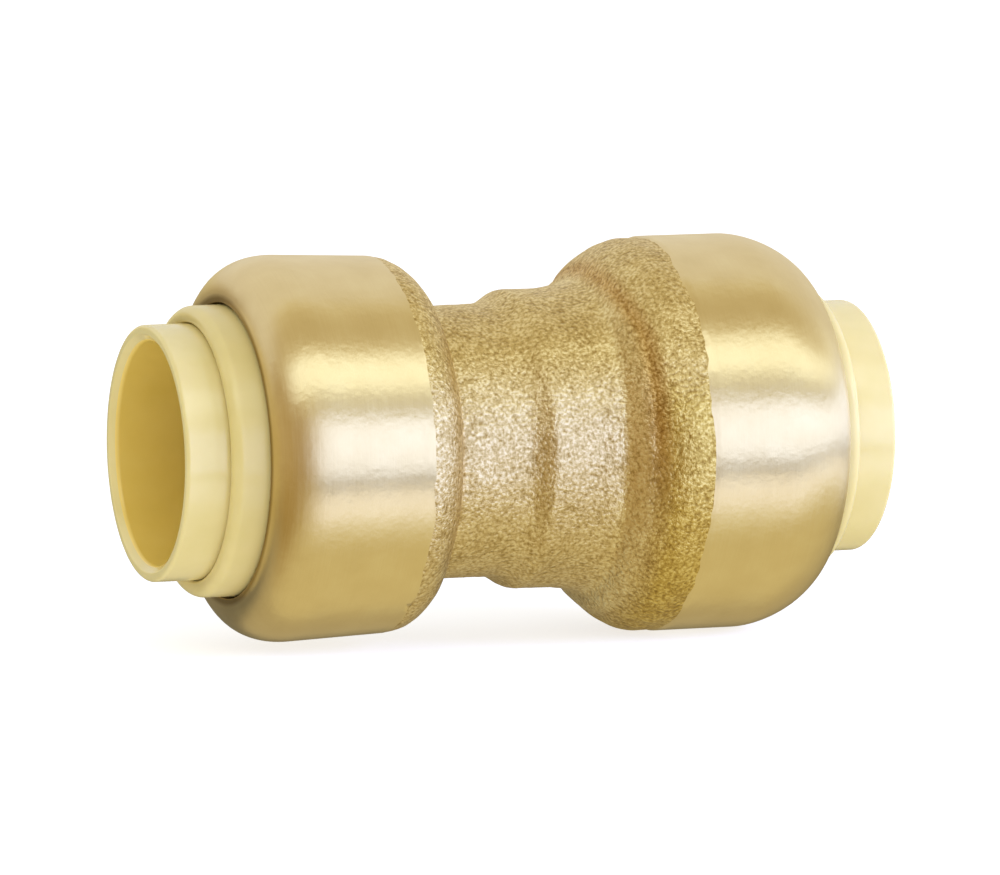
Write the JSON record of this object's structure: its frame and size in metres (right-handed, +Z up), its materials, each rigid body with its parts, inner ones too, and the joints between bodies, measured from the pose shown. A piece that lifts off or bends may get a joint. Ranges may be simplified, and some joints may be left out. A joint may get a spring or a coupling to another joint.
{
  "type": "push to connect fitting",
  "caption": "Straight brass push-to-connect coupling with a stepped neck and a pale plastic release collar in each mouth, for joining plain-ended tube without tools.",
  "frame": {"origin": "on the axis of the fitting, half way between the two mouths", "axes": "+X along the axis, out of the mouth of the larger bell; +Z up; the fitting is round, so Y and Z are interchangeable"},
  "size_m": [0.0554, 0.0294, 0.0294],
  "materials": {
    "forged_brass": "forged, blasted and grainy round the neck and the rear of the bells; turned and finely brushed on the rest",
    "collar_plastic": "semi-gloss cream acetal",
    "cap_plastic": "semi-gloss cream acetal",
    "stainless_spring": "stamped spring steel",
    "inner_plastic": "moulded, off-white",
    "seal_rubber": "black EPDM with a light film of grease"
  },
  "bodies": {
    "root": {"brass_body": "forged_brass", "cartridge_cap_left": "cap_plastic", "o_ring_guard_left": "inner_plastic", "o_ring_left": "seal_rubber", "tube_liner_left": "inner_plastic", "cartridge_cap_right": "cap_plastic", "o_ring_guard_right": "inner_plastic", "o_ring_right": "seal_rubber", "tube_liner_right": "inner_plastic"},
    "grip_left": {"grab_ring_left": "stainless_spring"},
    "collar_left": {"release_collar_left": "collar_plastic"},
    "grip_right": {"grab_ring_right": "stainless_spring"},
    "collar_right": {"release_collar_right": "collar_plastic"}
  },
  "joints": [
    {"name": "grip_left_spin", "type": "hinge", "parent": "root", "child": "grip_left", "pos_m": [-0.016, 0, 0], "axis": [1, 0, 0], "continuous": true},
    {"name": "collar_left_push", "type": "slide", "parent": "grip_left", "child": "collar_left", "axis": [1, 0, 0], "range_m": [0, 0.0026], "stiffness_N_per_m": 4000, "deforming": ["grab_ring_left"]},
    {"name": "grip_right_spin", "type": "hinge", "parent": "root", "child": "grip_right", "pos_m": [0.016, 0, 0], "axis": [1, 0, 0], "continuous": true},
    {"name": "collar_right_push", "type": "slide", "parent": "grip_right", "child": "collar_right", "axis": [-1, 0, 0], "range_m": [0, 0.0026], "stiffness_N_per_m": 4000, "deforming": ["grab_ring_right"]}
  ]
}
